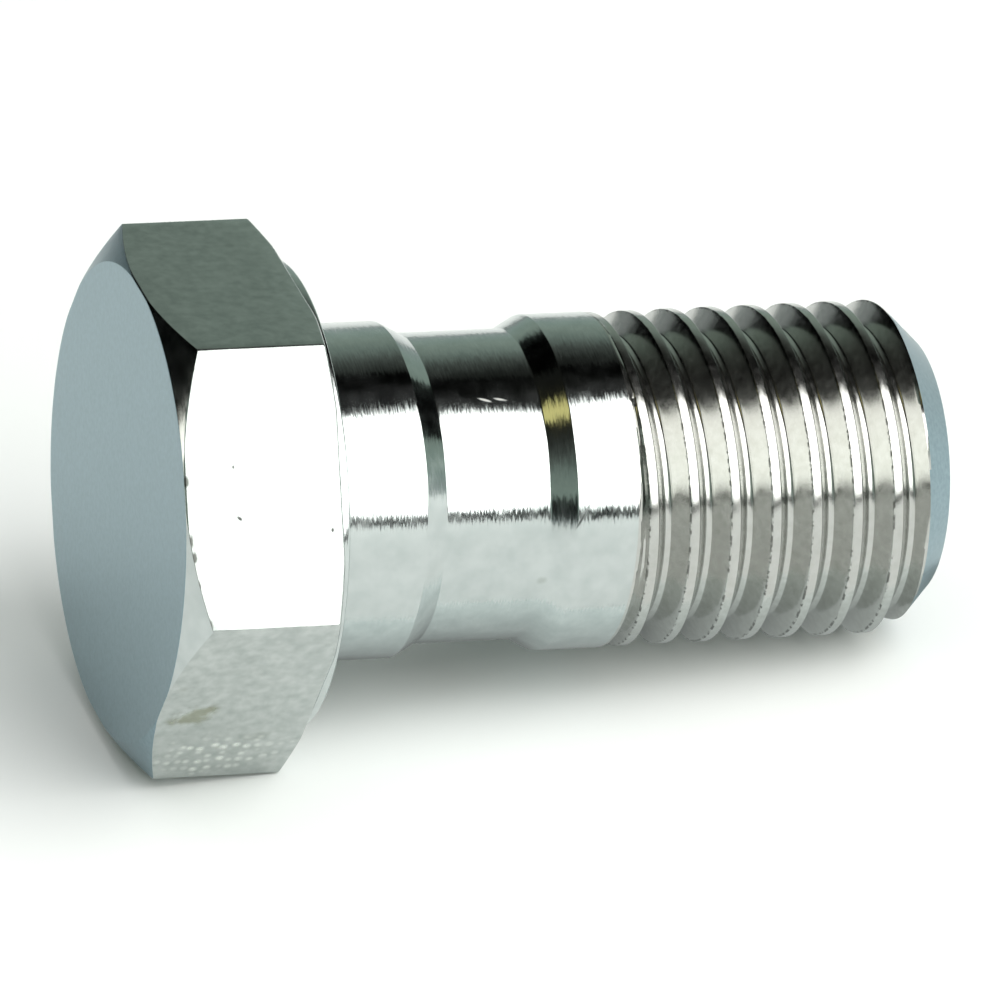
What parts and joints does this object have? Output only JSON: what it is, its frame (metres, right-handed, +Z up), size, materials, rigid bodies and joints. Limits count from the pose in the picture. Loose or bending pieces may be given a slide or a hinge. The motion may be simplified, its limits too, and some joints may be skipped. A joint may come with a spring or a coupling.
{
  "type": "banjo bolt",
  "caption": "Hexagon-head banjo bolt with a waisted shank between two collars, a side port, a blind axial bore and a fine right-hand thread.",
  "frame": {"origin": "centre of the seat under the head, where the shank's first collar starts", "axes": "+X roughly along the bolt from the head to the thread, level; +Z up; the bolt lies on one flat of its head and on its thread, so its own axis dips towards the thread end"},
  "size_m": [0.0253, 0.0162, 0.0144],
  "materials": {
    "nickel_plated_steel": "bright nickel plate over turned steel"
  },
  "bodies": {
    "root": {"banjo_bolt": "nickel_plated_steel"}
  },
  "joints": []
}
